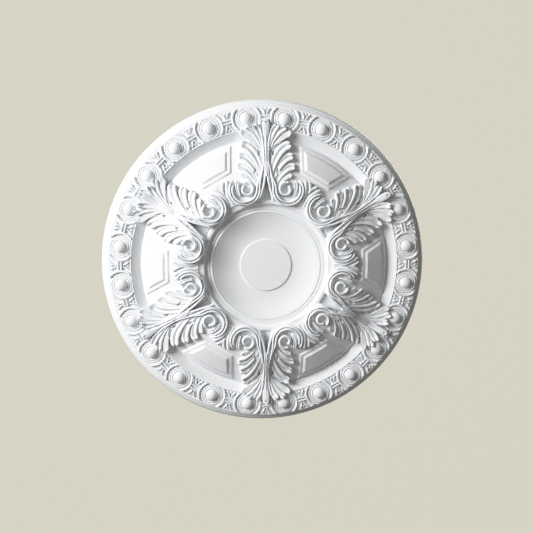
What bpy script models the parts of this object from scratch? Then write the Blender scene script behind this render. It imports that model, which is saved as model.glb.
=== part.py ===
# Ceiling rose, 600 mm, moulded in one piece with six acanthus motifs and a bead band
# It hangs face down: flat back at z = 0, carving towards -Z, origin at the back's centre
# Metres, +Z up to the ceiling
import math
import bmesh
import bpy
import numpy as np
from mathutils import Matrix

for old in list(bpy.data.objects):
    bpy.data.objects.remove(old, do_unlink=True)

MM = 0.001

# Plan radii
ROSE_RADIUS = 0.300
RIM_WIDTH = 0.0175
BAND_WIDTH = 0.0365
CAVETTO_WIDTH = 0.020
SLOPE_TOP_RADIUS = 0.170
CREST_RADIUS = 0.122
COLLAR_RADIUS = 0.110
DISH_RADIUS = 0.095
DISH_LINE_WIDTH = 0.0042
DISC_RADIUS = 0.047

# Heights below the ceiling
EDGE_HEIGHT = 0.005
RIM_ROLL_HEIGHT = 0.0200
BAND_HEIGHT = 0.025
BAND_SINK = 0.0018
GUTTER_HEIGHT = 0.0205
SLOPE_TOP_HEIGHT = 0.043
CREST_HEIGHT = 0.049
COLLAR_HEIGHT = 0.046
DISH_TOP_HEIGHT = 0.040
DISH_FLOOR_HEIGHT = 0.0275
DISC_STEP = 0.002

# Bead band
BEADS_PER_MOTIF = 4
BEAD_RADIUS = 0.0125
BEAD_RISE = 0.0066
BEAD_SEAT_RADIUS = 0.0190
BEAD_SEAT_RISE = 0.0020
RIBBON_RADIUS = 0.0247
RIBBON_HALF_WIDTH = 0.0022
RIBBON_RISE = 0.0039
CLASP_LENGTH = 0.017
CLASP_BAR_OFFSET = 0.0028
CLASP_BAR_WIDTH = 0.0032
DART_HALF_WIDTH = 0.0023

# Raised panels on the slope
PANEL_INNER_RADIUS = 0.173
PANEL_MARGIN = 0.0008
PANEL_AXIS_GAP = 0.061
PANEL_STEP_RISE = 0.0027
PANEL_STEP_WIDTH = 0.0026
PANEL_BEVEL_INSET = 0.0085
PANEL_BEVEL_WIDTH = 0.0035

# Acanthus motifs
MOTIF_COUNT = 6
SCROLL_CENTRE = (0.0385, 0.1355)
SCROLL_RADIUS = 0.0265
SCROLL_INNER_RADIUS = 0.0216
SCROLL_RISE = 0.0074
EYE_CENTRE = (0.0335, 0.1365)
EYE_RING_RADIUS = 0.012
EYE_BOSS_RADIUS = 0.0036
FEATHER_HALF_WIDTH = 0.0040
RIB_HALF_WIDTH = 0.0026
WAIST_RADIUS = 0.200
NOTCH_TOP_RADIUS = 0.161
NOTCH_FOOT_RADIUS = 0.1185
NOTCH_SLOPE = 0.27
NOTCH_DEPTH = 0.009
WALL_DRAFT = 0.0023

# Facets of one wedge, which is half a motif
RIM_FACETS = 8
DISC_FACETS = 4
FINE_STEPS = 8
RING_PITCH = 0.0016
WEDGE_TRIANGLES = 650


def ramp(a, b, x):
    return np.clip((x - a) / (b - a), 0.0, 1.0)


def smooth(a, b, x):
    t = ramp(a, b, x)
    return t * t * (3.0 - 2.0 * t)


def front_profile():
    """Turned face from the axis outward as (radius, height below the ceiling)."""
    pts = [(0.0, DISH_FLOOR_HEIGHT + DISC_STEP)]
    pts.append((DISC_RADIUS - 0.6 * MM, DISH_FLOOR_HEIGHT + DISC_STEP))
    span = DISH_RADIUS - DISC_RADIUS
    drop = DISH_TOP_HEIGHT - DISH_FLOOR_HEIGHT
    bow = (span * span + drop * drop) / (2.0 * drop)
    for i in range(11):
        x = span * i / 10
        pts.append((DISC_RADIUS + 0.6 * MM + (x * (span - 0.6 * MM) / span),
                    DISH_FLOOR_HEIGHT + bow - math.sqrt(bow * bow - x * x)))
    line = DISH_RADIUS + 0.3 * DISH_LINE_WIDTH
    pts.append((line, DISH_TOP_HEIGHT + 0.3 * MM))
    pts.append((DISH_RADIUS + 0.7 * DISH_LINE_WIDTH, DISH_TOP_HEIGHT + 1.2 * MM))
    start = DISH_RADIUS + DISH_LINE_WIDTH
    foot = DISH_TOP_HEIGHT + 0.6 * MM
    for i in range(6):
        t = math.pi / 2 * i / 5
        pts.append((start + (COLLAR_RADIUS - start) * math.sin(t),
                    foot + (COLLAR_HEIGHT - foot) * (1 - math.cos(t))))
    for i in range(1, 5):
        t = i / 4
        pts.append((COLLAR_RADIUS + (CREST_RADIUS - COLLAR_RADIUS) * t,
                    COLLAR_HEIGHT + (CREST_HEIGHT - COLLAR_HEIGHT) * math.sin(t * math.pi / 2)))
    band_out = ROSE_RADIUS - RIM_WIDTH
    band_in = band_out - BAND_WIDTH
    cavetto = band_in - CAVETTO_WIDTH
    pts.append(((CREST_RADIUS + SLOPE_TOP_RADIUS) / 2, CREST_HEIGHT - 1.5 * MM))
    pts.append((SLOPE_TOP_RADIUS, SLOPE_TOP_HEIGHT))
    pts.append((cavetto, GUTTER_HEIGHT))
    for i in range(1, 4):
        t = i / 3
        pts.append((cavetto + (CAVETTO_WIDTH - 3.0 * MM) * t,
                    GUTTER_HEIGHT + (BAND_HEIGHT - 0.8 * MM - GUTTER_HEIGHT) * t ** 1.2))
    pts.append((band_in - 1.4 * MM, BAND_HEIGHT + 0.7 * MM))
    pts.append((band_in, BAND_HEIGHT - BAND_SINK))
    pts.append((band_out, BAND_HEIGHT - BAND_SINK))
    pts.append((band_out + 0.08 * RIM_WIDTH, BAND_HEIGHT))
    pts.append((band_out + 0.16 * RIM_WIDTH, BAND_HEIGHT - 2.8 * MM))
    pts.append((band_out + 0.24 * RIM_WIDTH, BAND_HEIGHT - 2.4 * MM))
    roll = band_out + 0.33 * RIM_WIDTH
    for i in range(6):
        t = math.radians(20 + 14 * i)
        share = (math.sin(t) - math.sin(math.radians(20))) / (1 - math.sin(math.radians(20)))
        drop = math.cos(t) / math.cos(math.radians(20))
        pts.append((roll + (ROSE_RADIUS - roll) * share, EDGE_HEIGHT + (RIM_ROLL_HEIGHT - EDGE_HEIGHT) * drop))
    return np.array(pts)


PROFILE = front_profile()
BAND_OUT = ROSE_RADIUS - RIM_WIDTH
BAND_IN = BAND_OUT - BAND_WIDTH
BEAD_RING = (BAND_OUT + BAND_IN) / 2
SLOPE_FOOT = BAND_IN - CAVETTO_WIDTH
PLAN = ROSE_RADIUS / 0.300

# Level the leaves spring from, as (radius, height): it follows the turned face a little above it
LEAF_LEVEL = np.array([
    (DISH_RADIUS + DISH_LINE_WIDTH, DISH_TOP_HEIGHT + 1.0 * MM),
    (COLLAR_RADIUS + 2 * MM, COLLAR_HEIGHT - 4.0 * MM),
    (COLLAR_RADIUS + 9 * MM, CREST_HEIGHT - 3.0 * MM),
    (CREST_RADIUS + 24 * MM, CREST_HEIGHT - 2.5 * MM),
    (SLOPE_TOP_RADIUS, SLOPE_TOP_HEIGHT - 0.5 * MM),
    (WAIST_RADIUS, 0.5 * SLOPE_TOP_HEIGHT + 0.5 * BAND_HEIGHT),
    (SLOPE_FOOT - 7 * MM, BAND_HEIGHT + 1.0 * MM),
    (BEAD_RING, BAND_HEIGHT + 2.5 * MM),
])
FAN_LEVEL = np.array([
    (WAIST_RADIUS - 10 * MM, SLOPE_TOP_HEIGHT - 4.5 * MM),
    (SLOPE_FOOT - 7 * MM, BAND_HEIGHT + 5 * MM),
    (BAND_IN - 8 * MM, BAND_HEIGHT + 5 * MM),
    (BAND_IN + 8 * MM, BAND_HEIGHT + 7 * MM),
])


def heading(angle):
    return np.array([math.cos(math.radians(angle)), math.sin(math.radians(angle))])


def curve(root, root_way, tip, tip_way, pull=0.38):
    """Curve from root to tip; headings in degrees, 0 across the motif and 90 outward."""
    root = np.array(root)
    tip = np.array(tip)
    reach = np.linalg.norm(tip - root) * pull
    near = root + reach * heading(root_way)
    far = tip - reach * heading(tip_way)
    t = np.linspace(0.0, 1.0, 16)[:, None]
    return root * (1 - t) ** 3 + 3 * near * t * (1 - t) ** 2 + 3 * far * t * t * (1 - t) + tip * t ** 3


def circle(centre, radius, start, stop, last_radius=None):
    a = np.radians(np.linspace(start, stop, 30))
    r = np.linspace(radius, last_radius or radius, 30)
    return np.column_stack([centre[0] + r * np.cos(a), centre[1] + r * np.sin(a)])


def along(u, v, path):
    """Share along the path, distance to its side and the path's length."""
    best = np.full(u.shape, 1e9)
    share = np.zeros(u.shape)
    side = np.zeros(u.shape)
    seg = np.linalg.norm(np.diff(path, axis=0), axis=1)
    start = np.concatenate([[0.0], np.cumsum(seg)])
    for i in range(len(seg)):
        a = path[i]
        d = (path[i + 1] - a) / seg[i]
        k = (u - a[0]) * d[0] + (v - a[1]) * d[1]
        near = np.clip(k, 0.0, seg[i])
        dist = np.hypot(u - a[0] - near * d[0], v - a[1] - near * d[1])
        if i > 0:
            k = np.maximum(k, 0.0)
        if i < len(seg) - 1:
            k = np.minimum(k, seg[i])
        closer = dist < best
        best[closer] = dist[closer]
        share[closer] = ((start[i] + k) / start[-1])[closer]
        side[closer] = (d[0] * (v - a[1]) - d[1] * (u - a[0]))[closer]
    return share, side, start[-1]


def lay(h, top, edge):
    return np.where(edge > 0, np.maximum(h, h + (top - h) * edge), h)


def near_path(u, v, path, pad):
    low = path.min(axis=0) - pad
    high = path.max(axis=0) + pad
    return (u > low[0]) & (u < high[0]) & (v > low[1]) & (v < high[1])


def lobe(h, u, v, level, path, half, fingers, rise, narrow=0.45, hollow=0.0, lip=0.0):
    """Leaf lobe: half width, number of fingers at its end, rise over the level."""
    m = near_path(u, v, path, half + 2 * MM)
    if not m.any():
        return h
    share, side, length = along(u[m], v[m], path)
    w = half * (narrow + (1 - narrow) * smooth(0.0, 0.7, share))
    x = side / w
    crest = np.abs(np.sin(math.pi * (np.clip(x, -1, 1) + 1) / 2 * fingers)) ** 0.6
    end = 1 - 0.16 * (2 * half / length) * x * x - 0.08 * (1 - crest)
    edge = smooth(0.0, WALL_DRAFT, (1 - np.abs(x)) * w)
    edge = edge * smooth(0.0, WALL_DRAFT, (end - share) * length) * smooth(-0.01, 0.05, share)
    top = rise * (0.35 + 0.65 * smooth(0.0, 0.8, share)) + lip * smooth(0.82, 0.97, share)
    body = top * (1 - 0.36 * smooth(0.05, 0.45, share) * (1 - crest))
    body = body - hollow * (1 - x * x) * smooth(0.25, 0.6, share) * (1 - smooth(0.86, 0.97, share))
    out = h.copy()
    out[m] = lay(h[m], level[m] + body, edge)
    return out


def rib(h, u, v, level, path, half, rise, taper=1.0, fade=0.05):
    """Rounded ridge along a path, thinner at its start by the taper."""
    m = near_path(u, v, path, half + 1 * MM)
    if not m.any():
        return h
    share, side, length = along(u[m], v[m], path)
    w = half * (taper + (1 - taper) * smooth(0.0, 0.4, share))
    n = np.clip(np.abs(side) / w, 0.0, 1.0)
    ends = smooth(0.0, 0.05, share) * smooth(1.0, 1.0 - fade, share)
    out = h.copy()
    out[m] = lay(h[m], level[m] + rise * np.sqrt(1 - n ** 2.4), smooth(1.0, 0.6, n) * ends)
    return out


# Lobes of the side leaf, lowest first, in millimetres on a 600 mm rose:
# root across, root out, root heading, tip across, tip out, tip heading, half width, fingers, rise
SIDE_LOBES = (
    (19.0, 141, 88, 49, 157, -10, 5.2, 2, 5.0),
    (14.0, 144, 93, 55, 172, 2, 7.0, 3, 6.5),
    (9.5, 152, 90, 50, 193, 16, 8.8, 3, 7.5),
    (4.5, 190, 72, 21, 215, 42, 3.2, 1, 6.0),
    (6.0, 185, 74, 33, 223, 40, 4.6, 2, 6.5),
    (6.5, 160, 86, 50, 217, 28, 9.4, 3, 8.5),
)
# Lobes of the fan over the bead band: as above, then hollow and lip
FAN_LOBES = (
    (3.5, 193, 86, 44, 240, 22, 7.2, 2, 3.5, 0.0, 2.0),
    (3.0, 193, 89, 34, 251, 45, 7.5, 2, 4.5, 0.0, 2.2),
    (2.5, 191, 91, 19.5, 250, 62, 7.0, 2, 5.0, 2.5, 2.5),
    (0.0, 187, 90, 0, 265, 90, 7.0, 1, 5.5, 0.0, 0.5),
)
# Feathers outside the scroll: root across, root out, tip across, tip out
FEATHERS = ((57, 110, 69, 152), (62, 105.5, 77, 150), (67, 101.5, 84, 146))
# Drilled eyes between lobes: across, out, half width, half length
LEAF_EYES = ((20.0, 169, 2.8, 5.5), (13.0, 201, 2.3, 5.5))
EYE_DEPTH = 0.006


def motif(u, v, r, h):
    """Half of an acanthus motif: u across from its axis, v out along it."""
    size = MM * PLAN
    level = np.interp(r, LEAF_LEVEL[:, 0], LEAF_LEVEL[:, 1])
    fan = np.interp(v, FAN_LEVEL[:, 0], FAN_LEVEL[:, 1])
    centre = np.array(SCROLL_CENTRE) * PLAN
    eye = np.array(EYE_CENTRE) * PLAN
    reach = SCROLL_RADIUS + 16 * MM
    d = np.hypot(u - centre[0], v - centre[1])
    pad = smooth(0.0, 3 * MM, reach - d) * smooth(146 * size, 142 * size, v - 0.12 * (u - 60 * size))
    pad = np.maximum(pad, smooth(0.0, 2 * MM, SCROLL_RADIUS - 2 * MM - d))
    h = np.maximum(h, h + (level - 1.5 * MM - h) * pad)
    for ru, rv, ra, tu, tv, ta, half, fingers, rise in SIDE_LOBES:
        path = curve((ru * size, rv * size), ra, (tu * size, tv * size), ta)
        h = lobe(h, u, v, level, path, half * size, fingers, rise * MM)
    for eu, ev, across, out in LEAF_EYES:
        q = ((u - eu * size) / (across * MM)) ** 2 + ((v - ev * size) / (out * MM)) ** 2
        h = h - EYE_DEPTH * smooth(1.3, 0.2, q)
    for ru, rv, ra, tu, tv, ta, half, fingers, rise, hollow, lip in FAN_LOBES:
        path = curve((ru * size, rv * size), ra, (tu * size, tv * size), ta)
        h = lobe(h, u, v, fan, path, half * size, fingers, rise * MM, 0.26, hollow * MM, lip * MM)
    for ru, rv, tu, tv in FEATHERS[::-1]:
        path = curve((ru * size, rv * size), 36, (tu * size, tv * size), 98)
        h = lobe(h, u, v, level, path, FEATHER_HALF_WIDTH, 1, SCROLL_RISE - 1.6 * MM)
    for radius, top, reach in ((SCROLL_INNER_RADIUS, (7.0, 172), 392), (SCROLL_RADIUS, (3.2, 198), 402)):
        stem = curve((top[0] * size, top[1] * size), -88, (centre[0] - radius, centre[1]), -90, 0.33)
        path = np.concatenate([stem, circle(centre, radius, 183, reach)])
        h = rib(h, u, v, level, path, RIB_HALF_WIDTH, SCROLL_RISE, taper=0.6)
    foot = curve((1.6 * size, 190 * size), -89, (15.5 * size, 115 * size), -62)
    h = rib(h, u, v, level, foot, 1.15 * RIB_HALF_WIDTH, SCROLL_RISE - 0.8 * MM, taper=0.5, fade=0.12)
    d = np.hypot(u - eye[0], v - eye[1])
    h = h + (level - 1.5 * MM - h) * smooth(0.0, 1.5 * MM, EYE_RING_RADIUS + 1 * MM - d)
    curl = curve((47 * size, 124 * size), 70, (50 * size, 151 * size), 120)
    h = lobe(h, u, v, level, curl, 3.8 * size, 2, SCROLL_RISE - 1.4 * MM, 0.7)
    h = rib(h, u, v, level, circle(eye, EYE_RING_RADIUS, 75, 440, 0.5 * EYE_RING_RADIUS),
            1.15 * RIB_HALF_WIDTH, SCROLL_RISE + 0.4 * MM)
    h = lay(h, level + 5 * MM * np.sqrt(np.clip(1 - (d / EYE_BOSS_RADIUS) ** 2, 0, 1)),
            smooth(EYE_BOSS_RADIUS, 0.7 * EYE_BOSS_RADIUS, d))
    stalk = curve((0.0, 156 * size), 90, (0.0, 240 * size), 90)
    h = rib(h, u, v, level, stalk, 0.65 * RIB_HALF_WIDTH, SCROLL_RISE + 0.8 * MM)
    stalk = curve((3.2 * size, 164 * size), 90, (8 * size, 236 * size), 80)
    h = rib(h, u, v, level, stalk, 0.58 * RIB_HALF_WIDTH, SCROLL_RISE + 0.2 * MM)
    notch = smooth(0.0, 3 * MM, (NOTCH_TOP_RADIUS * PLAN - v) * NOTCH_SLOPE - u)
    notch = notch * smooth(NOTCH_FOOT_RADIUS * PLAN - 2.5 * MM, NOTCH_FOOT_RADIUS * PLAN + 2.5 * MM, v)
    return h - NOTCH_DEPTH * notch


def panels(r, angle, h):
    """Raised panel; angle in radians from the panel's own axis."""
    outer = SLOPE_FOOT - PANEL_MARGIN - r
    inner = r * np.cos(angle) - PANEL_INNER_RADIUS * PLAN
    side = r * np.sin(math.pi / MOTIF_COUNT - angle) - PANEL_AXIS_GAP * PLAN
    e = np.minimum(np.minimum(outer, inner), side)
    h = h + PANEL_STEP_RISE * ramp(0.0, PANEL_STEP_WIDTH, e)
    return h + PANEL_STEP_RISE * ramp(PANEL_BEVEL_INSET, PANEL_BEVEL_INSET + PANEL_BEVEL_WIDTH, e)


def bead_band(r, angle, h):
    """Beads in round seats, ribbon arcs beside them and a clasp between each pair."""
    pitch = 2 * math.pi / (BEADS_PER_MOTIF * MOTIF_COUNT)
    off = np.abs(np.mod(angle, pitch) - pitch / 2)
    x = r * np.sin(off)
    d = np.hypot(x, r * np.cos(off) - BEAD_RING)
    floor = BAND_HEIGHT - BAND_SINK
    z = np.full_like(h, floor)
    z = np.maximum(z, floor + 1.4 * MM * ramp(BEAD_SEAT_RADIUS + 0.8 * MM, BEAD_SEAT_RADIUS - 0.8 * MM, d))
    inner_seat = 0.5 * (BEAD_RADIUS + BEAD_SEAT_RADIUS)
    z = np.maximum(z, floor + BEAD_SEAT_RISE * ramp(inner_seat + 0.5 * MM, inner_seat - 0.5 * MM, d))
    dome = BEAD_SEAT_RISE + BEAD_RISE * np.sqrt(np.clip(1 - (d / BEAD_RADIUS) ** 2, 0, 1))
    z = np.maximum(z, np.where(d < BEAD_RADIUS, floor + dome, floor))
    n = np.abs(d - RIBBON_RADIUS) / RIBBON_HALF_WIDTH
    arc = RIBBON_RISE * np.sqrt(np.clip(1 - n * n, 0, 1)) * smooth(6 * MM, 9 * MM, x)
    z = np.maximum(z, floor + arc)
    across = r * np.sin(pitch / 2 - off)
    out = r * np.cos(pitch / 2 - off) - BEAD_RING
    bar = ramp(0.6 * CLASP_BAR_WIDTH, 0.3 * CLASP_BAR_WIDTH, np.abs(np.abs(out) - CLASP_BAR_OFFSET))
    bar = bar * ramp(CLASP_LENGTH / 2, CLASP_LENGTH / 2 - 1 * MM, across) * (d > RIBBON_RADIUS)
    z = np.maximum(z, floor + RIBBON_RISE * bar)
    lean = 3.0 * MM + 0.30 * (np.abs(out) - 6 * MM)
    n = np.abs(across - lean) / DART_HALF_WIDTH
    dart = np.sqrt(np.clip(1 - n * n, 0, 1)) * ramp(5 * MM, 6.5 * MM, np.abs(out)) * (d > RIBBON_RADIUS + 1.7 * MM)
    z = np.maximum(z, floor + 3.6 * MM * dart)
    inside = smooth(BAND_IN, BAND_IN + 0.8 * MM, r) * smooth(BAND_OUT, BAND_OUT - 0.8 * MM, r)
    return h + (z - h) * inside


def carved_height(r, angle):
    """Height below the ceiling; the pattern is worked out on one mirrored half motif."""
    pitch = 2 * math.pi / MOTIF_COUNT
    fold = np.abs(np.mod(angle + pitch / 2, pitch) - pitch / 2)
    h = np.interp(r, PROFILE[:, 0], PROFILE[:, 1])
    h = panels(r, pitch / 2 - fold, h)
    h = bead_band(r, fold, h)
    return motif(r * np.sin(fold), r * np.cos(fold), r, h)


def material(name, colour, roughness):
    mat = bpy.data.materials.new(name)
    mat.use_nodes = True
    shader = mat.node_tree.nodes["Principled BSDF"]
    shader.inputs["Base Color"].default_value = (*colour, 1.0)
    shader.inputs["Roughness"].default_value = roughness
    return mat


def grid_wedge():
    """Fine face of half a motif between its two mirror planes, from the disc to the band's rim."""
    wedge = math.pi / MOTIF_COUNT
    rings = int(round((BAND_OUT - DISC_RADIUS) / RING_PITCH))
    radii = np.concatenate([np.linspace(DISC_RADIUS, BAND_OUT, rings), PROFILE[:, 0]])
    radii = np.unique(radii[(radii >= DISC_RADIUS) & (radii <= BAND_OUT)])
    radii = radii[np.concatenate([[True], np.diff(radii) > 0.3 * MM])]
    radii[-1] = BAND_OUT
    fine = RIM_FACETS * FINE_STEPS
    angle = np.linspace(0.0, wedge, fine + 1)
    grid_r, grid_a = np.meshgrid(radii, angle, indexing="ij")
    h = carved_height(grid_r.ravel(), wedge - grid_a.ravel())
    verts = np.column_stack([(grid_r * np.cos(grid_a)).ravel(), (grid_r * np.sin(grid_a)).ravel(), -h])
    row = fine + 1
    faces = []
    last = len(radii) - 2
    for i in range(1, last):
        for j in range(fine):
            a = i * row + j
            faces.append((a, a + 1, a + row + 1, a + row))
    inner_step = RIM_FACETS * FINE_STEPS // DISC_FACETS
    for coarse, near, step, flip in ((0, 1, inner_step, False), (last + 1, last, FINE_STEPS, True)):
        for j in range(0, fine, step):
            c = coarse * row + j
            f = near * row + j
            half = step // 2
            fan = [(c, f + k + 1, f + k) for k in range(half)]
            fan.append((c, c + step, f + half))
            fan += [(c + step, f + k + 1, f + k) for k in range(half, step)]
            faces += [tri[::-1] for tri in fan] if flip else fan
    return verts, faces


def thin_wedge(verts, faces, wanted):
    """Fewer facets, worked in millimetres; the open edges are set back on their planes and circles."""
    wedge = math.pi / MOTIF_COUNT
    mesh = bpy.data.meshes.new("wedge")
    mesh.from_pydata((verts / MM).tolist(), [], faces)
    piece = bpy.data.objects.new("wedge", mesh)
    bpy.context.collection.objects.link(piece)
    bpy.context.view_layer.objects.active = piece
    mesh.calc_loop_triangles()
    free = piece.vertex_groups.new(name="free")
    inside = [v.index for v in mesh.vertices
              if DISC_RADIUS + 0.1 * MM < v.co.xy.length * MM < BAND_OUT - 0.1 * MM]
    free.add(inside, 1.0, "REPLACE")
    thin = piece.modifiers.new("Facets", "DECIMATE")
    thin.vertex_group = free.name
    thin.vertex_group_factor = 1000
    thin.ratio = wanted / len(mesh.loop_triangles)
    thin.use_collapse_triangulate = True
    bpy.ops.object.modifier_apply(modifier=thin.name)
    bm = bmesh.new()
    bm.from_mesh(piece.data)
    bpy.data.objects.remove(piece, do_unlink=True)
    bmesh.ops.delete(bm, geom=[v for v in bm.verts if not v.link_faces], context="VERTS")
    planes = {0.0: set(), wedge: set()}
    for v in bm.verts:
        v.co = v.co * MM
        if not v.is_boundary:
            continue
        r = math.hypot(v.co.x, v.co.y)
        a = math.atan2(v.co.y, v.co.x)
        on_disc = r < DISC_RADIUS + 0.3 * RING_PITCH
        on_rim = r > BAND_OUT - 0.3 * RING_PITCH
        if on_disc:
            r = DISC_RADIUS
            v.co.z = -DISH_FLOOR_HEIGHT
        if on_rim:
            r = BAND_OUT
            v.co.z = -(BAND_HEIGHT - BAND_SINK)
        inside = not on_disc and not on_rim
        if r * abs(a) < 0.4 * MM or inside and a < wedge / 2:
            a = 0.0
        elif r * abs(a - wedge) < 0.4 * MM or inside:
            a = wedge
        if a in planes:
            planes[a].add(v)
        v.co.x = r * math.cos(a)
        v.co.y = r * math.sin(a)
    # A facet that has come to lie in a mirror plane would be an inner wall
    walls = [f for f in bm.faces if any(on.issuperset(f.verts) for on in planes.values())]
    bmesh.ops.delete(bm, geom=walls, context="FACES")
    return bm


def full_turn(bm):
    """Mirrors the wedge at its first plane, then repeats the pair round the axis."""
    copy = bmesh.ops.duplicate(bm, geom=bm.verts[:] + bm.edges[:] + bm.faces[:])["geom"]
    for v in copy:
        if isinstance(v, bmesh.types.BMVert):
            v.co.y = -v.co.y
    bmesh.ops.reverse_faces(bm, faces=[f for f in copy if isinstance(f, bmesh.types.BMFace)])
    bmesh.ops.spin(bm, geom=bm.verts[:] + bm.edges[:] + bm.faces[:], cent=(0, 0, 0), axis=(0, 0, 1),
                   angle=2 * math.pi * (MOTIF_COUNT - 1) / MOTIF_COUNT, steps=MOTIF_COUNT - 1,
                   use_duplicate=True)
    bmesh.ops.remove_doubles(bm, verts=bm.verts[:], dist=0.02 * MM)


def open_loop(bm, outer):
    """Edges of the open ring nearest the axis, or of the outer one."""
    loops = [e for e in bm.edges if e.is_boundary]
    middle = 0.5 * (DISC_RADIUS + BAND_OUT)
    return [e for e in loops if (e.verts[0].co.xy.length > middle) == outer]


def draw_ring(bm, edges, radius, height):
    """Pulls an open ring to a new radius and height and returns its new edges."""
    made = bmesh.ops.extrude_edge_only(bm, edges=edges)["geom"]
    for v in made:
        if isinstance(v, bmesh.types.BMVert):
            flat = v.co.xy.normalized() * radius
            v.co = (flat.x, flat.y, -height)
    return [e for e in made if isinstance(e, bmesh.types.BMEdge)]


verts, faces = grid_wedge()
bm = thin_wedge(verts, faces, WEDGE_TRIANGLES)
full_turn(bm)
ring = open_loop(bm, outer=True)
for radius, height in PROFILE[PROFILE[:, 0] > BAND_OUT + 0.01 * MM]:
    ring = draw_ring(bm, ring, radius, height)
ring = draw_ring(bm, ring, ROSE_RADIUS, 0.0)
bmesh.ops.contextual_create(bm, geom=ring)
ring = draw_ring(bm, open_loop(bm, outer=False), DISC_RADIUS - 0.6 * MM, DISH_FLOOR_HEIGHT + DISC_STEP)
bmesh.ops.contextual_create(bm, geom=ring)
bmesh.ops.recalc_face_normals(bm, faces=bm.faces[:])
# One motif points along -Y
bmesh.ops.rotate(bm, verts=bm.verts[:], cent=(0, 0, 0),
                 matrix=Matrix.Rotation(-math.pi / 2 - math.pi / MOTIF_COUNT, 3, "Z"))
mesh = bpy.data.meshes.new("ceiling_rose")
bm.to_mesh(mesh)
bm.free()
rose = bpy.data.objects.new("ceiling_rose", mesh)
bpy.context.collection.objects.link(rose)
mesh.materials.append(material("primed_foam", (0.85, 0.85, 0.84), 0.6))
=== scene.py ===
import math
import bmesh
import bpy
import numpy as np
from mathutils import Matrix, Vector


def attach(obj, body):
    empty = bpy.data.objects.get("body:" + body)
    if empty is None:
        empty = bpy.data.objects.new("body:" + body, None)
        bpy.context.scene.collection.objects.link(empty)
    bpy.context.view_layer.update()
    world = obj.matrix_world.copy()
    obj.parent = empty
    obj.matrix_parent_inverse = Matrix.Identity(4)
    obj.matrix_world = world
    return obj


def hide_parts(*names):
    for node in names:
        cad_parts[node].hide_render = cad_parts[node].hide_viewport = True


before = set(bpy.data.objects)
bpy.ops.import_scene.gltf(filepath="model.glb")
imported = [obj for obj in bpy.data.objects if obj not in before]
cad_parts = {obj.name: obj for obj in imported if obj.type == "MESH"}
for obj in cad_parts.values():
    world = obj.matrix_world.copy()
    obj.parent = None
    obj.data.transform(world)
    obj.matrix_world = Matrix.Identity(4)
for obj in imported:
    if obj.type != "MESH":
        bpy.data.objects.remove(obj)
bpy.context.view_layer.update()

# The rose hangs face down: back on the ceiling at z = 0, one motif towards -Y, the photograph's top.
# The carving is worked out in millimetres as a height below the ceiling, on one mirrored half motif.
mm = 0.001


def ramp(low, high, x):
    return np.clip((x - low) / (high - low), 0.0, 1.0)


def smooth(low, high, x):
    t = ramp(low, high, x)
    return t * t * (3.0 - 2.0 * t)


def dome(x):
    return np.sqrt(np.clip(1.0 - x * x, 0.0, 1.0))


# Turned face: radii and heights, then fine lines as (out, up) from the edge that they follow
turned = {
    "roseRadius": 300.0, "bandOut": 282.5, "bandIn": 246.0, "slopeFoot": 226.0, "slopeTop": 170.0,
    "crestOut": 146.0, "crest": 122.0, "collar": 112.0, "dish": 95.0, "disc": 47.0,
    "edgeHeight": 5.0, "bandHeight": 25.0, "bandSink": 1.8, "gutterHeight": 15.4, "slopeTopHeight": 43.0,
    "crestHeight": 49.0, "crestFall": 1.5, "collarHeight": 46.0, "dishTop": 38.6, "dishFloor": 27.5,
    "discEdge": ((-1.2, 2.0), (-0.5, 1.6), (-0.1, 0.3), (0.5, 0.0)),
    "dishLip": ((0.5, -0.8), (1.3, 0.5), (2.3, 1.2), (3.4, 1.1), (4.2, 0.6)),
    "dishLine": ((0.0, 0.0), (0.5, 0.8), (1.3, 1.0), (1.9, 0.4)), "dishLineOut": 7.0, "dishLineUp": 0.7,
    "slopeEdge": ((-0.6, 3.4), (0.4, 2.8), (0.9, 0.0)), "bandLip": ((-2.6, 0.1), (-1.5, 0.7), (-0.3, 0.1)),
    "gutterStart": 1.6, "gutterEnd": 3.0, "gutterLip": 0.6,
    "rimSteps": ((0.6, -1.4), (2.8, -1.6), (4.4, -5.4), (6.4, -5.8), (8.6, -9.8), (10.6, -10.2),
                 (12.6, -11.6), (14.4, -13.8), (16.0, -16.6)),
}


# quarter curve between two points that leaves the first one level
def quarter(r0, h0, r1, h1, steps):
    pts = []
    for i in range(1, steps + 1):
        t = math.pi / 2 * i / steps
        pts.append((r0 + (r1 - r0) * math.sin(t), h0 + (h1 - h0) * (1 - math.cos(t))))
    return pts


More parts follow.
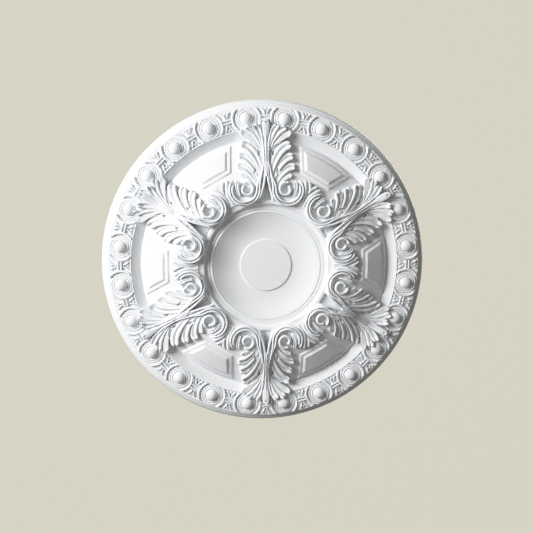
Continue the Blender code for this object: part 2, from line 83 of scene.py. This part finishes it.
def turnedFace():
    p = turned
    band, floor, bandIn, bandOut = p["bandHeight"], p["dishFloor"], p["bandIn"], p["bandOut"]
    pts = [(0.0, floor + p["discEdge"][0][1])]
    pts += [(p["disc"] + out, floor + up) for out, up in p["discEdge"]]
    span, drop = p["dish"] - pts[-1][0], p["dishTop"] - floor
    bow = (span * span + drop * drop) / (2 * drop)  # radius of the dish's arc
    for i in range(1, 19):
        x = span * i / 18
        pts.append((p["dish"] - span + x, floor + bow - math.sqrt(bow * bow - x * x)))
    pts += [(p["dish"] + out, p["dishTop"] + up) for out, up in p["dishLip"]]
    lineRadius, lineHeight = p["dish"] + p["dishLineOut"], p["dishTop"] + p["dishLineUp"]
    pts += [(lineRadius + out, lineHeight + up) for out, up in p["dishLine"]]
    pts += quarter(*pts[-1], p["collar"], p["collarHeight"], 7)
    pts += quarter(p["collar"], p["collarHeight"], p["crest"], p["crestHeight"], 6)
    pts += [(p["crestOut"], p["crestHeight"] - p["crestFall"]), (p["slopeTop"], p["slopeTopHeight"])]
    pts += [(p["slopeFoot"] + out, p["gutterHeight"] + up) for out, up in p["slopeEdge"]]
    start = p["slopeFoot"] + p["gutterStart"]
    width, rise = bandIn - p["gutterEnd"] - start, band - p["gutterLip"] - p["gutterHeight"]
    pts += [(start + width * t, p["gutterHeight"] + rise * t) for t in np.linspace(0, 1, 7)]
    pts += [(bandIn + out, band + up) for out, up in p["bandLip"]]
    pts += [(bandIn, band - p["bandSink"]), (bandOut, band - p["bandSink"])]
    pts += [(bandOut + out, band + up) for out, up in p["rimSteps"]]
    pts.append((p["roseRadius"], p["edgeHeight"]))
    return np.array(pts)


face = turnedFace()
beadRing = (turned["bandIn"] + turned["bandOut"]) / 2
wedge = math.pi / 6

# Levels that the leaves and the fan spring from, as (radius, height)
leafLevel = np.array([(108, 37), (113, 44.5), (120, 49), (146, 49), (170, 44), (195, 33.5), (219, 25.5),
                      (240, 25), (275, 27)])
fanLevel = np.array([(187, 36.5), (202, 33), (222, 28.5), (237, 28.5), (252, 30.5), (270, 30)])


def heading(angle):
    return np.array([math.cos(math.radians(angle)), math.sin(math.radians(angle))])


# curve from root to tip; headings in degrees, 0 across the motif and 90 outward
def curve(root, rootWay, tip, tipWay, pull=0.38, hook=1.0):
    root, tip = np.array(root, float), np.array(tip, float)
    reach = np.linalg.norm(tip - root) * pull
    near, far = root + reach * hook * heading(rootWay), tip - reach / hook * heading(tipWay)
    t = np.linspace(0.0, 1.0, 22)[:, None]
    return root * (1 - t) ** 3 + 3 * near * t * (1 - t) ** 2 + 3 * far * t * t * (1 - t) + tip * t ** 3


def circle(centre, radius, start, stop, lastRadius=None):
    a = np.radians(np.linspace(start, stop, 48))
    r = np.linspace(radius, lastRadius or radius, 48)
    return np.column_stack([centre[0] + r * np.cos(a), centre[1] + r * np.sin(a)])


# share along the path, distance to its side, and the path's length
def along(u, v, path):
    best = np.full(u.shape, 1e9)
    share, side = np.zeros(u.shape), np.zeros(u.shape)
    seg = np.linalg.norm(np.diff(path, axis=0), axis=1)
    start = np.concatenate([[0.0], np.cumsum(seg)])
    for i in range(len(seg)):
        a, d = path[i], (path[i + 1] - path[i]) / seg[i]
        k = (u - a[0]) * d[0] + (v - a[1]) * d[1]
        near = np.clip(k, 0.0, seg[i])
        dist = np.hypot(u - a[0] - near * d[0], v - a[1] - near * d[1])
        k = np.maximum(k, 0.0) if i > 0 else k
        k = np.minimum(k, seg[i]) if i < len(seg) - 1 else k
        closer = dist < best
        best[closer] = dist[closer]
        share[closer] = ((start[i] + k) / start[-1])[closer]
        side[closer] = (d[0] * (v - a[1]) - d[1] * (u - a[0]))[closer]
    return share, side, start[-1]


def lay(h, top, edge):
    return np.where(edge > 0, np.maximum(h, h + (top - h) * edge), h)


def nearPath(u, v, path, pad):
    low, high = path.min(axis=0) - pad, path.max(axis=0) + pad
    return (u > low[0]) & (u < high[0]) & (v > low[1]) & (v < high[1])


# leaf lobe with rounded fingers parted by flutes, and a moat cut round it
def lobe(h, u, v, level, path, half, fingers, rise, hollow=0.0, lip=0.0, groove=0.42, narrow=0.45,
         tilt=0.0, start=0.35):
    m = nearPath(u, v, path, half + 2)
    if not m.any():
        return h
    share, side, length = along(u[m], v[m], path)
    w = half * (narrow + (1 - narrow) * smooth(0.0, 0.7, share))
    x = side / w
    crest = np.abs(np.sin(math.pi * (np.clip(x, -1, 1) + 1) / 2 * fingers)) ** 0.6
    end = 1 - 0.38 * (2 * half / length) * x * x - 0.06 * (1 - crest)
    sides, tip = smooth(0.0, 1.3, (1 - np.abs(x)) * w), smooth(0.0, 1.3, (end - share) * length)
    edge = sides * tip * smooth(-0.01, 0.05, share)
    top = rise * (start + (1 - start) * smooth(0.0, 0.8, share)) * (1 + tilt * x)
    top = top + lip * smooth(0.82, 0.97, share)
    body = top * (1 - groove * smooth(0.05, 0.45, share) * (1 - crest))
    body = body - hollow * (1 - x * x) * smooth(0.25, 0.6, share) * (1 - smooth(0.86, 0.97, share))
    moat = ramp(2.2, 0.6, np.abs(side) - w) * smooth(0.05, 0.2, share)
    moat = moat * smooth(1 + 2.0 / length, 1.0, share)
    under = h[m] + (np.minimum(h[m], level[m] + 0.5) - h[m]) * moat
    out = h.copy()
    out[m] = lay(under, level[m] + body, edge)
    return out


# rounded ridge along a path
def rib(h, u, v, level, path, half, rise, taper=1.0, fade=0.05):
    m = nearPath(u, v, path, half + 1)
    if not m.any():
        return h
    share, side, length = along(u[m], v[m], path)
    w = half * (taper + (1 - taper) * smooth(0.0, 0.4, share))
    n = np.clip(np.abs(side) / w, 0.0, 1.0)
    ends = smooth(0.0, 0.05, share) * smooth(1.0, 1.0 - fade, share)
    out = h.copy()
    out[m] = lay(h[m], level[m] + rise * np.sqrt(1 - n ** 2.4), smooth(1.0, 0.6, n) * ends)
    return out


# Side leaf, lowest lobe first: root (across, out) and heading, tip (across, out) and heading, half width,
# fingers, rise, hollow, lip, flute depth
sideLobes = (
    ((19.0, 138), 72, (46, 160), -26, 5.6, 1, 4.8, 0.8, 0.8, 0.40),
    ((14.0, 140), 74, (53, 177), -12, 7.8, 2, 6.2, 1.2, 1.2, 0.62),
    ((9.5, 146), 76, (50, 197), 4, 8.2, 2, 7.0, 1.4, 1.4, 0.62),
    ((4.5, 190), 72, (21, 215), 44, 3.2, 1, 5.0, 0.0, 0.8, 0.40),
    ((6.0, 185), 74, (31, 222), 42, 4.6, 1, 6.0, 0.6, 1.2, 0.40),
    ((6.5, 156), 80, (46, 218), 12, 9.0, 2, 8.2, 1.6, 1.6, 0.62),
)
# Fan over the bead band
fanLobes = (
    ((3.5, 193), 86, (46, 240), 30, 7.4, 1, 3.6, 1.0, 1.2, 0.16),
    ((3.0, 191), 86, (37, 248), 24, 6.6, 2, 4.6, 0.6, 1.9, 0.56),
    ((2.5, 190), 90, (22, 252), 46, 6.4, 2, 5.2, 1.8, 2.8, 0.56),
    ((0.0, 214), 90, (0, 262), 90, 7.0, 1, 6.0, 0.0, 1.0, 0.30),
)
scroll = {
    "centre": (38.5, 135.5), "radius": 26.5, "innerRadius": 21.6, "rise": 7.4, "half": 2.6,
    "stemTop": (3.2, 198), "innerStemTop": (7.0, 172), "end": 402, "innerEnd": 392,  # ends in degrees
    "eye": (34.6, 136.5), "eyeRadius": 13.2, "eyeEnd": 6.4, "eyeHalf": 3.2, "eyeSink": 3.5,
    "leafRoot": (47, 124), "leafTip": (50, 151), "leafHalf": 3.8,
    "padWidth": 16.0, "padTop": 142.0, "padSink": 2.2,
}
# Feathers outside the scroll: root and tip
feathers = (((57, 110), (69, 152)), ((62, 105.5), (77, 150)), ((67, 101.5), (84, 146)))
featherHalf = 3.9
# Holes drilled between lobes: across, out, half width, half length
drills = ((20.0, 169, 2.8, 5.5), (13.0, 201, 2.3, 5.5))
drillDepth = 6.0
bud = {"out": 255.0, "hole": 1.9, "depth": 4.5}
stalk = {"foot": (0, 156), "top": (0, 246), "half": 1.7,
         "sideFoot": (3.2, 164), "sideTop": (8, 236), "sideHalf": 1.5}
notch = {"top": 161.0, "foot": 116.0, "spread": 0.27, "depth": 9.0}  # sunk triangle between two scrolls
notchRib = {"top": (1.6, 190), "foot": (15.5, 115), "half": 2.8}


# half of an acanthus motif: u across from its axis, v out along it
def motif(u, v, r, h):
    level = np.interp(r, leafLevel[:, 0], leafLevel[:, 1])
    fan = np.interp(v, fanLevel[:, 0], fanLevel[:, 1])
    s = scroll
    d = np.hypot(u - s["centre"][0], v - s["centre"][1])
    pad = smooth(0, 3, s["radius"] + s["padWidth"] - d)
    pad = pad * smooth(s["padTop"] + 4, s["padTop"], v - 0.12 * (u - 60))
    pad = np.maximum(pad, smooth(0, 2, s["radius"] - 2 - d))
    h = np.maximum(h, h + (level - s["padSink"] - h) * pad)
    for root, rootWay, tip, tipWay, half, fingers, rise, hollow, lip, groove in sideLobes:
        path = curve(root, rootWay, tip, tipWay, hook=1.35)
        h = lobe(h, u, v, level, path, half, fingers, rise, hollow, lip, groove, tilt=-0.30)
    for du, dv, across, out in drills:
        h = h - drillDepth * smooth(1.2, 0.2, ((u - du) / across) ** 2 + ((v - dv) / out) ** 2)
    for root, rootWay, tip, tipWay, half, fingers, rise, hollow, lip, groove in fanLobes:
        path = curve(root, rootWay, tip, tipWay, hook=1.25)
        h = lobe(h, u, v, fan, path, half, fingers, rise, hollow, lip, groove, narrow=0.26)
    h = h - bud["depth"] * smooth(1.2, 0.2, (u / bud["hole"]) ** 2 + ((v - bud["out"]) / bud["hole"]) ** 2)
    for root, tip in feathers[::-1]:
        path = curve(root, 36, tip, 98)
        h = lobe(h, u, v, level, path, featherHalf, 1, s["rise"] - 1.2, groove=0.75, narrow=0.5)
    ridges = ((s["innerRadius"], s["innerStemTop"], s["innerEnd"]), (s["radius"], s["stemTop"], s["end"]))
    for radius, top, end in ridges:
        stem = curve(top, -88, (s["centre"][0] - radius, s["centre"][1]), -90, 0.33)
        path = np.concatenate([stem, circle(s["centre"], radius, 183, end)])
        h = rib(h, u, v, level, path, s["half"], s["rise"], taper=0.6)
    path = curve(notchRib["top"], -89, notchRib["foot"], -62)
    h = rib(h, u, v, level, path, notchRib["half"], s["rise"] - 0.8, taper=0.5, fade=0.12)
    d = np.hypot(u - s["eye"][0], v - s["eye"][1])
    h = h + (level - s["eyeSink"] - h) * smooth(0, 1.5, s["eyeRadius"] + 1 - d)
    path = curve(s["leafRoot"], 70, s["leafTip"], 120)  # small leaf beside the eye
    h = lobe(h, u, v, level, path, s["leafHalf"], 2, s["rise"] - 1.4, narrow=0.7, start=0.7)
    spiral = circle(s["eye"], s["eyeRadius"], 60, 430, s["eyeEnd"])
    h = rib(h, u, v, level, spiral, s["eyeHalf"], s["rise"] + 0.4)
    h = rib(h, u, v, level, curve(stalk["foot"], 90, stalk["top"], 90), stalk["half"], s["rise"] + 0.8)
    path = curve(stalk["sideFoot"], 90, stalk["sideTop"], 80)
    h = rib(h, u, v, level, path, stalk["sideHalf"], s["rise"] + 0.2)
    sunk = smooth(0, 3, (notch["top"] - v) * notch["spread"] - u)
    sunk = sunk * smooth(notch["foot"], notch["foot"] + 5, v)
    return h - notch["depth"] * sunk


panel = {"inner": 173.0, "margin": 0.8, "axisGap": 61.0,
         "rise": 3.3, "width": 3.4, "inset": 8.0, "bevel": 4.2}


# raised two-step panel; angle from the panel's own axis
def panels(r, angle, h):
    p = panel
    outer = turned["slopeFoot"] - p["margin"] - r
    inner = r * np.cos(angle) - p["inner"]
    side = r * np.sin(wedge - angle) - p["axisGap"]
    e = np.minimum(np.minimum(outer, inner), side)
    return h + p["rise"] * ramp(0, p["width"], e) + p["rise"] * ramp(p["inset"], p["inset"] + p["bevel"], e)


bead = {
    "pitch": math.pi / 12, "radius": 11.0, "rise": 7.6, "seat": 20.0, "seatRise": 1.2, "padRise": 0.8,
    "rings": ((17.9, 1.8, 1.5), (13.9, 1.7, 2.3)),  # radius, half width, rise
    "ribbon": 24.7, "ribbonHalf": 2.5, "ribbonRise": 4.6, "ribbonStart": 6.0,
    "claspHalf": 8.5, "barOffset": 2.8, "barRise": 4.2,
    "dartFoot": (1.9, 6), "dartTip": (7.6, 16.5), "dartHalf": 1.8, "dartRise": 4.0,
    "studOut": 15.2, "studRadius": 2.5, "studRise": 3.0, "holeOut": 9.6, "holeDepth": 3.0,
}


# beads in round seats, ribbon arcs beside them, a clasp and darts between each pair
def beadBand(r, angle, h):
    b = bead
    off = np.abs(np.mod(angle, b["pitch"]) - b["pitch"] / 2)
    x = r * np.sin(off)
    d = np.hypot(x, r * np.cos(off) - beadRing)
    floor = turned["bandHeight"] - turned["bandSink"]
    z = np.full_like(h, floor)
    seat, pad = ramp(b["seat"] + 0.6, b["seat"] - 0.6, d), ramp(b["radius"] + 1.5, b["radius"] + 0.5, d)
    z = z + b["seatRise"] * seat + b["padRise"] * pad
    for ring, half, rise in b["rings"]:
        z = z + rise * dome((d - ring) / half)
    z = z + (b["rise"] * dome(d / b["radius"]) + 0.6) * (d < b["radius"])
    arc = dome((d - b["ribbon"]) / b["ribbonHalf"])
    z = np.maximum(z, floor + b["ribbonRise"] * arc * smooth(b["ribbonStart"], b["ribbonStart"] + 3, x))
    across, out = r * np.sin(b["pitch"] / 2 - off), r * np.cos(b["pitch"] / 2 - off) - beadRing
    away = np.abs(out)
    bar = ramp(2.0, 1.0, np.abs(away - b["barOffset"])) * ramp(b["claspHalf"], b["claspHalf"] - 1, across)
    z = np.maximum(z, floor + b["barRise"] * bar * (d > b["ribbon"]))
    free = d > b["ribbon"] + 1.0
    flat = np.zeros_like(h)
    path = curve(b["dartFoot"], 90, b["dartTip"], 35)
    z = np.maximum(z, floor + rib(flat, across, away, flat, path, b["dartHalf"], b["dartRise"]) * free)
    stud = dome(np.hypot(across, away - b["studOut"]) / b["studRadius"])
    z = np.maximum(z, floor + b["studRise"] * stud * free)
    z = z - b["holeDepth"] * smooth(2.0, 0.8, np.hypot(across, away - b["holeOut"]))
    inside = smooth(turned["bandIn"], turned["bandIn"] + 0.6, r)
    inside = inside * smooth(turned["bandOut"], turned["bandOut"] - 0.6, r)
    return h + (z - h) * inside


def carvedHeight(r, fold):
    h = np.interp(r, face[:, 0], face[:, 1])
    h = panels(r, wedge - fold, h)
    h = beadBand(r, fold, h)
    return motif(r * np.sin(fold), r * np.cos(fold), r, h)


# One wedge of the carving between its two mirror planes, from the collar to the rim
grid = {"inner": 107.5, "ringPitch": 0.62, "arcSteps": 256, "facets": 13600,
        "circleSnap": 0.2, "planeSnap": 0.25}


def fineWedge():
    inner, outer = grid["inner"], turned["bandOut"]
    rings = int((outer - inner) / grid["ringPitch"])
    radii = np.concatenate([np.linspace(inner, outer, rings), face[:, 0]])
    radii = np.unique(radii[(radii >= inner) & (radii <= outer)])
    radii = radii[np.concatenate([[True], np.diff(radii) > 0.12])]
    radii[-1] = outer
    angle = np.linspace(0.0, wedge, grid["arcSteps"] + 1)
    r, a = np.meshgrid(radii, angle, indexing="ij")
    h = carvedHeight(r.ravel(), wedge - a.ravel())
    row = grid["arcSteps"] + 1
    verts = np.column_stack([(r * np.cos(a)).ravel(), (r * np.sin(a)).ravel(), -h])
    faces = []
    for i in range(len(radii) - 1):
        for j in range(grid["arcSteps"]):
            c = i * row + j
            faces.append((c, c + 1, c + row + 1, c + row))
    mesh = bpy.data.meshes.new("wedge")
    mesh.from_pydata(verts.tolist(), [], faces)
    piece = bpy.data.objects.new("wedge", mesh)
    bpy.context.collection.objects.link(piece)
    bpy.context.view_layer.objects.active = piece
    thin = piece.modifiers.new("thin", "DECIMATE")
    thin.ratio = grid["facets"] / (2 * len(faces))
    thin.use_collapse_triangulate = True
    bpy.ops.object.modifier_apply(modifier="thin")
    bm = bmesh.new()
    bm.from_mesh(piece.data)
    bpy.data.objects.remove(piece, do_unlink=True)
    print("wedge carved and thinned,", len(bm.faces), "facets")
    return bm


# open edges go back exactly on their planes and circles
def settleEdges(bm):
    for v in bm.verts:
        if not v.is_boundary:
            continue
        r, a = v.co.xy.length, math.atan2(v.co.y, v.co.x)
        if r < grid["inner"] + grid["circleSnap"]:
            r = grid["inner"]
        if r > turned["bandOut"] - grid["circleSnap"]:
            r = turned["bandOut"]
            v.co.z = -(turned["bandHeight"] - turned["bandSink"])
        if r * abs(a) < grid["planeSnap"]:
            a = 0.0
        if r * abs(a - wedge) < grid["planeSnap"]:
            a = wedge
        v.co.x, v.co.y = r * math.cos(a), r * math.sin(a)


def fullTurn(bm):
    copy = bmesh.ops.duplicate(bm, geom=bm.verts[:] + bm.edges[:] + bm.faces[:])["geom"]
    for v in copy:
        if isinstance(v, bmesh.types.BMVert):
            v.co.y = -v.co.y
    bmesh.ops.reverse_faces(bm, faces=[f for f in copy if isinstance(f, bmesh.types.BMFace)])
    bmesh.ops.spin(bm, geom=bm.verts[:] + bm.edges[:] + bm.faces[:], cent=(0, 0, 0), axis=(0, 0, 1),
                   angle=2 * math.pi * 5 / 6, steps=5, use_duplicate=True)
    bmesh.ops.remove_doubles(bm, verts=bm.verts[:], dist=0.01)


def openRing(bm, outer):
    middle = (grid["inner"] + turned["bandOut"]) / 2
    return [e for e in bm.edges if e.is_boundary and (e.verts[0].co.xy.length > middle) == outer]


# pulls an open ring to a new radius and height
def drawRing(bm, edges, radius, height):
    made = bmesh.ops.extrude_edge_only(bm, edges=edges)["geom"]
    for v in made:
        if isinstance(v, bmesh.types.BMVert):
            flat = v.co.xy.normalized() * radius
            v.co = (flat.x, flat.y, -height)
    return [e for e in made if isinstance(e, bmesh.types.BMEdge)]


def carvedRose():
    bm = fineWedge()
    settleEdges(bm)
    fullTurn(bm)
    ring = openRing(bm, True)
    print("rim drawn from", len(ring), "edges")
    for radius, height in face[face[:, 0] > turned["bandOut"] + 0.01]:
        ring = drawRing(bm, ring, radius, height)
    ring = drawRing(bm, ring, turned["roseRadius"], 0.0)
    bmesh.ops.contextual_create(bm, geom=ring)
    ring = openRing(bm, False)
    print("collar and dish drawn from", len(ring), "edges")
    for radius, height in face[(face[:, 0] < grid["inner"] - 0.3) & (face[:, 0] > 1)][::-1]:
        ring = drawRing(bm, ring, radius, height)
    bmesh.ops.contextual_create(bm, geom=ring)
    bmesh.ops.recalc_face_normals(bm, faces=bm.faces[:])
    turn = Matrix.Rotation(-math.pi / 2 - wedge, 4, "Z") @ Matrix.Scale(mm, 4)
    bmesh.ops.transform(bm, matrix=turn, verts=bm.verts[:])
    mesh = bpy.data.meshes.new("carvedRose")
    bm.to_mesh(mesh)
    bm.free()
    rose = bpy.data.objects.new("carvedRose", mesh)
    bpy.context.collection.objects.link(rose)
    return rose


def linear(hexColour):
    out = []
    for i in (0, 2, 4):
        c = int(hexColour[i:i + 2], 16) / 255
        out.append(c / 12.92 if c <= 0.04045 else ((c + 0.055) / 1.055) ** 2.4)
    return (*out, 1.0)


def addNode(tree, kind, inputs=None):
    node = tree.nodes.new(kind)
    for key, value in (inputs or {}).items():
        if isinstance(value, bpy.types.NodeSocket):
            tree.links.new(value, node.inputs[key])
        else:
            node.inputs[key].default_value = value
    return node


# polyurethane foam cast in a mould and sprayed with matt white primer: even, faintly pebbled skin; its
# pebbles are drawn at 1.6 mm, coarser than real spray, so that they show
finish = {"colour": "EBEDF0", "roughness": 0.55, "ior": 1.46, "grain": 1.6 * mm, "relief": 0.2 * mm}


def primedFoam():
    mat = bpy.data.materials.new("primedPolyurethaneFoam")
    mat.use_nodes = True
    tree = mat.node_tree
    shader = tree.nodes["Principled BSDF"]
    place = addNode(tree, "ShaderNodeTexCoord").outputs["Object"]
    size = {"Vector": place, "Scale": 1 / finish["grain"], "Detail": 3.0}
    grain = addNode(tree, "ShaderNodeTexNoise", inputs=size).outputs["Fac"]
    skin = {"Height": grain, "Strength": 0.10, "Distance": finish["relief"]}
    bump = addNode(tree, "ShaderNodeBump", inputs=skin)
    tree.links.new(bump.outputs["Normal"], shader.inputs["Normal"])
    shader.inputs["Base Color"].default_value = linear(finish["colour"])
    shader.inputs["Roughness"].default_value = finish["roughness"]
    shader.inputs["IOR"].default_value = finish["ior"]
    return mat


rose = carvedRose()
rose.data.materials.append(primedFoam())
bpy.ops.object.select_all(action="DESELECT")
rose.select_set(True)
bpy.context.view_layer.objects.active = rose
bpy.ops.object.shade_smooth_by_angle(angle=math.radians(32))
weight = rose.modifiers.new("weight", "WEIGHTED_NORMAL")
weight.keep_sharp = True
weight.weight = 100
bpy.ops.object.modifier_apply(modifier="weight")
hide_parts("ceiling_rose")
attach(rose, "root")
rose.data.calc_loop_triangles()
print("carved rose", len(rose.data.loop_triangles), "triangles")

# Stage: a sheet well behind the rose that glows evenly in the ceiling's colour, and a pale floor far below
sheets = {"backdrop": {"size": 12.0, "height": 2.4, "colour": "101010", "glow": "D6D3C2"},
          "floor": {"size": 3.0, "height": -3.4, "colour": "E4E2DA", "glow": None}}
for name, sheet in sheets.items():
    size, height = sheet["size"], sheet["height"]
    sheetMat = bpy.data.materials.new(name + "Sheet")
    sheetMat.use_nodes = True
    shader = sheetMat.node_tree.nodes["Principled BSDF"]
    shader.inputs["Base Color"].default_value = linear(sheet["colour"])
    shader.inputs["Roughness"].default_value = 0.9
    if sheet["glow"]:
        shader.inputs["Emission Color"].default_value = linear(sheet["glow"])
        shader.inputs["Emission Strength"].default_value = 1.0
    bpy.ops.mesh.primitive_plane_add(size=size, location=(0, 0, height))
    plane = bpy.context.active_object
    plane.name = name
    if name == "backdrop":
        plane.rotation_euler = (math.pi, 0, 0)
    bpy.ops.object.transform_apply(location=False, rotation=True, scale=False)
    plane.data.materials.append(sheetMat)
print("backdrop and floor placed")

# Camera: below the rose, moved to the photograph's upper left
view = {"tilt": 7.2, "side": (-0.480, -0.877), "distance": 0.982, "lens": 36.5,
        "aim": (0.0010, 0.0016, -0.035)}


def aimed(obj, place, target):
    back = (Vector(place) - Vector(target)).normalized()
    right = Vector((0, -1, 0)).cross(back).normalized()
    turn = Matrix((right, back.cross(right), back)).transposed()
    obj.matrix_world = Matrix.Translation(place) @ turn.to_4x4()


tilt = math.radians(view["tilt"])
away = Vector((view["side"][0] * math.sin(tilt), view["side"][1] * math.sin(tilt), -math.cos(tilt)))
camera = bpy.data.objects.new("camera", bpy.data.cameras.new("camera"))
bpy.context.collection.objects.link(camera)
camera.data.lens = view["lens"]
camera.data.clip_start = 0.05
aimed(camera, Vector(view["aim"]) + away * view["distance"], view["aim"])
bpy.context.scene.camera = camera
print("camera set")

# Tone: as it is up to the disc's, then rolled off softly like a studio photograph
tone = ((0.33, 0.66), (0.43, 0.82), (0.53, 0.925), (0.65, 0.99))
shown = bpy.context.scene.view_settings
shown.view_transform = "Standard"
shown.use_curve_mapping = True
shown.curve_mapping.white_level = (2.0, 2.0, 2.0)
for place, value in tone:
    shown.curve_mapping.curves[3].points.new(place, value)
shown.curve_mapping.update()

# Light: one strong soft light from the left and a little above, as the photograph's shadows show, with a
# weak surround; a second lamp above lights only the back
lights = (
    {"name": "key", "azimuth": 295, "elevation": 30, "energy": 56.0, "size": 0.85, "distance": 1.9},
    {"name": "back", "azimuth": 60, "elevation": -50, "energy": 16.0, "size": 1.0, "distance": 1.3},
)
surround = {"colour": "F0F0F6", "strength": 0.105}
for light in lights:
    data = bpy.data.lights.new(light["name"], "AREA")
    data.energy = light["energy"]
    data.size = light["size"]
    obj = bpy.data.objects.new(light["name"], data)
    bpy.context.collection.objects.link(obj)
    obj.visible_camera = False
    az, el = math.radians(light["azimuth"]), math.radians(light["elevation"])
    way = Vector((math.sin(az) * math.cos(el), -math.cos(az) * math.cos(el), -math.sin(el)))
    aimed(obj, way * light["distance"], (0, 0, 0))
world = bpy.data.worlds.new("surround")
bpy.context.scene.world = world
world.use_nodes = True
sky = world.node_tree.nodes["Background"]
sky.inputs["Color"].default_value = linear(surround["colour"])
sky.inputs["Strength"].default_value = surround["strength"]
print("lights set")
